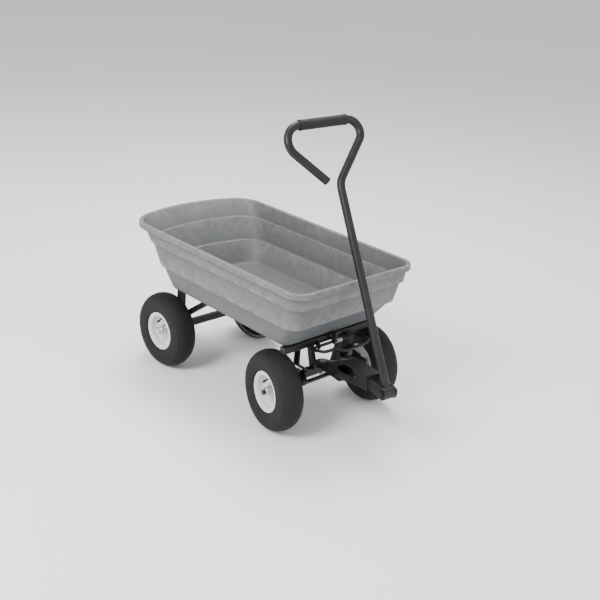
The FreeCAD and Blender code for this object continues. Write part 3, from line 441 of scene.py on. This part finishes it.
# Closed sections in millimetres: radius, distance out from the wheel's middle, softening.
TYRE_SECTION = (
    (54.2, 26.4, 1), (57, 30, 1), (66.4, 30, 0.3), (67.2, 34.4, 1.2), (71, 37.4, 1.4),
    (74, 37.4, 1.2), (77, 38.6, 2), (92, 40, 12), (104, 39.4, 6), (114, 37.5, 1.6),
    (122.5, 28, 6), (128, 15, 6), (130, 0, 6))
RIM_SECTION = ((15.05, 0.3, 0), (15.05, 3, 0.3), (43, 3, 4), (51.2, 9, 3), (51.2, 28, 3), (55, 33, 2.5),
               (66, 33, 1.2), (66, 30.3, 1), (56.6, 30.3, 2), (53.9, 27, 2), (53.9, 8, 3), (44.5, 0.3, 3))
HUB_SECTION = ((8.06, -32, 0.4), (13, -32, 0.5), (15, -30, 0.5), (15, 3, 0.3), (28, 3, 0.5), (28, 5, 0.5),
               (19, 5, 1), (15, 9, 1), (15, 30, 0.5), (13, 32, 0.5), (8.06, 32, 0.4))


def section(corners, flip=1):
    points = [Vector((radius, flip * along)) * MM for radius, along, _ in corners]
    return softened(points, [soft * MM for _, _, soft in corners])


def wheel_place(end, side, sign):
    """The wheel's own frame: Z points out of the cart along its axle."""
    axis = Vector(JOINTS["%s_%s_wheel_spin" % (end, side)]["axis"]) * sign
    turn = axis.to_track_quat("Z", "Y").to_matrix().to_4x4()
    return Matrix.Translation(box_middle("%s_%s_tyre" % (end, side))) @ turn


def make_wheels():
    tyre_half = list(TYRE_SECTION)
    mirrored = [(radius, -along, soft) for radius, along, soft in reversed(tyre_half[:-1])]
    tyre = section(tyre_half + mirrored)
    rim = [section(RIM_SECTION), section(RIM_SECTION, -1)[::-1]]
    hub = section(HUB_SECTION)
    for end in ENDS:
        for side, sign in SIDES:
            name = "%s_%s" % (end, side)
            where = wheel_place(end, side, sign)
            for kind, outlines, slot, sections in (("tyre", [tyre], "tyre_rubber", 112),
                                                   ("rim", rim, "rim_paint", 80),
                                                   ("hub", [hub], "zinc_steel", 48)):
                piece = turned("%s_%s_mesh" % (name, kind), outlines, slot, name + "_wheel",
                               where, sections)
                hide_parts("%s_%s" % (name, kind))


# ---------------------------------------------------------------- handle grip

GRIP_LENGTH = 168.0
GRIP_TILT = math.radians(2.32)
GRIP_RADIUS = 16.5
GRIP_BORE = 12.5
GRIP_COLLAR = 9.0
GRIP_RIBS = 26
STEPS_PER_RIB = 4
RIB_DROP = 0.9
RIB_HEIGHT = 0.45


def make_grip():
    """A moulded sleeve with a collar at each end and fine ribs between them."""
    half = GRIP_LENGTH / 2
    inner = half - GRIP_COLLAR
    steps = GRIP_RIBS * STEPS_PER_RIB
    outline = [(GRIP_BORE, -half, 0), (GRIP_RADIUS, -half, 1.6), (GRIP_RADIUS, -inner - 1, 1)]
    for step in range(steps + 1):
        swell = math.cos(2 * math.pi * step / STEPS_PER_RIB)
        height = GRIP_RADIUS - RIB_DROP - RIB_HEIGHT * swell
        outline.append((height, -inner + 2 * inner * step / steps, 0))
    outline += [(GRIP_RADIUS, inner + 1, 1), (GRIP_RADIUS, half, 1.6), (GRIP_BORE, half, 0)]
    across = Vector(JOINTS["handle_pitch"]["axis"])
    middle = box_middle("handle_grip")
    shaft = middle - box_middle("handle_eye")
    shaft -= across * shaft.dot(across)
    axis = across * math.cos(GRIP_TILT) + shaft.normalized() * math.sin(GRIP_TILT)
    turn = axis.to_track_quat("Z", "Y").to_matrix().to_4x4()
    where = Matrix.Translation(middle) @ turn
    grip = turned("grip_sleeve", [section(outline)], "grip_vinyl", "handle", where, 64)
    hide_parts("handle_grip")


# ---------------------------------------------------------------- welds

WELD_RADIUS = 2.2 * MM
WELD_PITCH = 2.6 * MM
WELD_STEP = 0.65 * MM
FOOT_WELD = 15.0 * MM


def weld(name, corners):
    """A bead along straight runs between corner points."""
    path = [corners[0]]
    for start, stop in zip(corners, corners[1:]):
        steps = max(2, round((stop - start).length / WELD_STEP))
        path += [start.lerp(stop, step / steps) for step in range(1, steps + 1)]
    swept(name, path, WELD_RADIUS, "frame_paint", "chassis", 0.16, WELD_PITCH)


def around_tube(low, high, z):
    """The four corners of an upright tube's foot, and back to the first one."""
    return [Vector((x, y, z)) for x, y in ((low.x, low.y), (high.x, low.y), (high.x, high.y),
                                           (low.x, high.y), (low.x, low.y))]


def make_welds():
    """Beads where the tubes and flat bars of the chassis meet."""
    bar_low, bar_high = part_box("front_crossbar")
    rear_low, rear_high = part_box("rear_crossbar")
    beam_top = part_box("rear_axle_beam")[1].z
    beam_low, beam_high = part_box("front_beam")
    for side, sign in SIDES:
        rail_low, rail_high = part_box("side_rail_" + side)
        outer = rail_high.y if sign > 0 else rail_low.y
        inner = rail_low.y if sign > 0 else rail_high.y
        weld("weld_rail_front_" + side, [
            Vector((bar_low.x, outer, rail_low.z)), Vector((bar_low.x, outer, rail_high.z)),
            Vector((bar_low.x, inner, rail_high.z)), Vector((bar_low.x, inner, rail_low.z))])
        weld("weld_rail_rear_" + side, [
            Vector((rear_low.x, inner, rear_low.z)), Vector((rear_low.x, inner, rear_high.z)),
            Vector((rear_high.x, inner, rear_high.z)), Vector((rear_high.x, inner, rear_low.z))])
        leg_low, leg_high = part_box("rear_leg_" + side)
        weld("weld_leg_foot_" + side, around_tube(leg_low, leg_high, beam_top))
        for end, x in (("back", leg_low.x), ("front", leg_high.x)):
            weld("weld_leg_top_%s_%s" % (end, side),
                 [Vector((x, leg_low.y, leg_high.z)), Vector((x, leg_high.y, leg_high.z))])
        for bar in ("front_leg_", "front_strut_"):
            low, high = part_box(bar + side)
            near = low.y if sign > 0 else high.y
            for end, x in (("back", low.x), ("front", min(high.x, beam_high.x))):
                weld("weld_%s%s_%s" % (bar, end, side),
                     [Vector((x, near, beam_high.z)), Vector((x, near + sign * FOOT_WELD, beam_high.z))])


# ---------------------------------------------------------------- CAD pieces kept as they are

# How far the edges of the kept steel and plastic pieces are broken, in millimetres.
EDGE_SOFTNESS = {
    "side_rail": 2.0, "front_crossbar": 2.0, "rear_crossbar": 2.0, "rear_leg": 2.0, "front_beam": 2.4,
    "rear_axle_beam": 2.4, "front_leg": 1.0, "front_strut": 1.0, "rear_brace": 2.0, "rail_bow": 1.0,
    "tub_strap": 0.8, "tub_striker": 0.8, "tub_bolts": 0.7, "kingpins": 0.8, "tongue_bolt": 0.8,
    "clevis_bolt": 0.8, "clevis_ears": 1.0, "tongue": 0.7, "tongue_plate": 0.8, "tie_rod": 0.7,
    "knuckle": 0.8, "handle_eye": 0.8, "frame_end_caps": 0.9, "release_lugs": 0.7,
}
EDGE_ANGLE = math.radians(40)
EDGE_SEGMENTS = 3
JOIN_DISTANCE = 0.01 * MM


def soften_edges(node):
    """Broken edges on a kept piece, through modifiers only."""
    starts = [start for start in EDGE_SOFTNESS if node.name.startswith(start)]
    if not starts:
        return
    join = node.modifiers.new("join", "WELD")
    join.merge_threshold = JOIN_DISTANCE
    edges = node.modifiers.new("edges", "BEVEL")
    edges.width = EDGE_SOFTNESS[max(starts, key=len)] * MM
    edges.segments = EDGE_SEGMENTS
    edges.limit_method = "ANGLE"
    edges.angle_limit = EDGE_ANGLE
    edges.harden_normals = True
    edges.miter_outer = "MITER_ARC"


def finish_kept_nodes():
    for name, node in frame["nodes"].items():
        node.data.materials.clear()
        node.data.materials.append(MATERIALS[NODE_SLOTS[name]])
        if not node.hide_render:
            soften_edges(node)


# ---------------------------------------------------------------- studio

CAMERA_PLACE = Vector((2.209, -2.044, 1.568))
CAMERA_TARGET = Vector((0.0748, -0.0766, 0.3689))
CAMERA_ROLL = math.radians(3.39)
CAMERA_LENS = 59.8
CAMERA_SENSOR = 36.0
CAMERA_SHIFT = (0.0315, -0.0033)
CAMERA_REACH = 100.0
FLOOR_HALF = 30.0
STUDIO_MIDDLE = (0, 0, 0.35)
WORLD_COLOUR = (0.95, 0.97, 1.0, 1.0)
WORLD_STRENGTH = 0.85


def make_floor():
    half = FLOOR_HALF
    corners = [(-half, -half, 0), (half, -half, 0), (half, half, 0), (-half, half, 0)]
    mesh = bpy.data.meshes.new("floor")
    mesh.from_pydata(corners, [], [(0, 1, 2, 3)])
    floor = bpy.data.objects.new("floor", mesh)
    bpy.context.scene.collection.objects.link(floor)
    mesh.materials.append(floor_paint())


def aimed(item, place, target, roll=0.0):
    turn = (target - place).to_track_quat("-Z", "Y").to_matrix().to_4x4()
    item.matrix_world = Matrix.Translation(place) @ turn @ Matrix.Rotation(roll, 4, "Z")


def make_light(name, place, size, watts, colour=(1, 1, 1)):
    lamp = bpy.data.lights.new(name, "AREA")
    lamp.shape = "SQUARE"
    lamp.size = size
    lamp.energy = watts
    lamp.color = colour
    item = bpy.data.objects.new(name, lamp)
    bpy.context.scene.collection.objects.link(item)
    aimed(item, Vector(place), Vector(STUDIO_MIDDLE))


def make_studio():
    make_floor()
    make_light("key_light", (0.2, -3.2, 2.9), 1.5, 190, (1.0, 0.985, 0.96))
    make_light("fill_light", (3.4, 0.9, 1.7), 2.4, 42, (0.96, 0.98, 1.0))
    make_light("top_light", (-1.0, 0.9, 3.8), 1.7, 150)
    world = bpy.data.worlds.new("studio")
    world.use_nodes = True
    background = world.node_tree.nodes["Background"]
    background.inputs["Color"].default_value = WORLD_COLOUR
    background.inputs["Strength"].default_value = WORLD_STRENGTH
    bpy.context.scene.world = world


def make_camera():
    lens = bpy.data.cameras.new("camera")
    lens.lens = CAMERA_LENS
    lens.sensor_width = CAMERA_SENSOR
    lens.shift_x, lens.shift_y = CAMERA_SHIFT
    lens.clip_end = CAMERA_REACH
    camera = bpy.data.objects.new("camera", lens)
    bpy.context.scene.collection.objects.link(camera)
    aimed(camera, CAMERA_PLACE, CAMERA_TARGET, CAMERA_ROLL)
    bpy.context.scene.camera = camera


make_tub()
make_wheels()
make_grip()
finish_kept_nodes()
make_welds()
make_studio()
make_camera()
